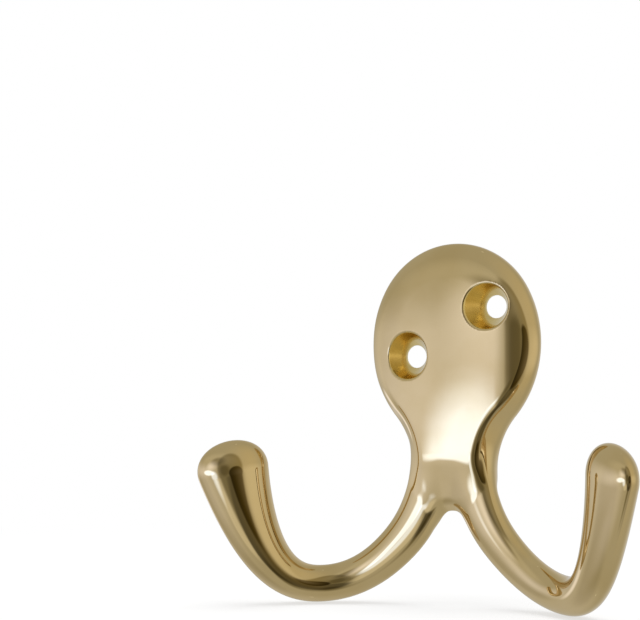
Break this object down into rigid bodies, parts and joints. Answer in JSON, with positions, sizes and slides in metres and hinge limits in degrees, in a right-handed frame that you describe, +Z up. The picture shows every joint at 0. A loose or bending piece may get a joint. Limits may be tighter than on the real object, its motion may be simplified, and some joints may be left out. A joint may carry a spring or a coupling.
{
  "type": "double robe hook",
  "caption": "Polished brass robe hook: pear-shaped wall plate with countersunk screw holes, and mirrored arms that bow down and out, then rise forward to flattened club ends.",
  "frame": {"origin": "on the flat back face that lies against the wall, midway between the screw holes", "axes": "+X to the right seen from the front, +Y into the wall, +Z up; the hook stands out along -Y"},
  "size_m": [0.076, 0.0216, 0.0603],
  "materials": {
    "polished_brass": "polished"
  },
  "bodies": {
    "root": {"double_robe_hook": "polished_brass"}
  },
  "joints": []
}
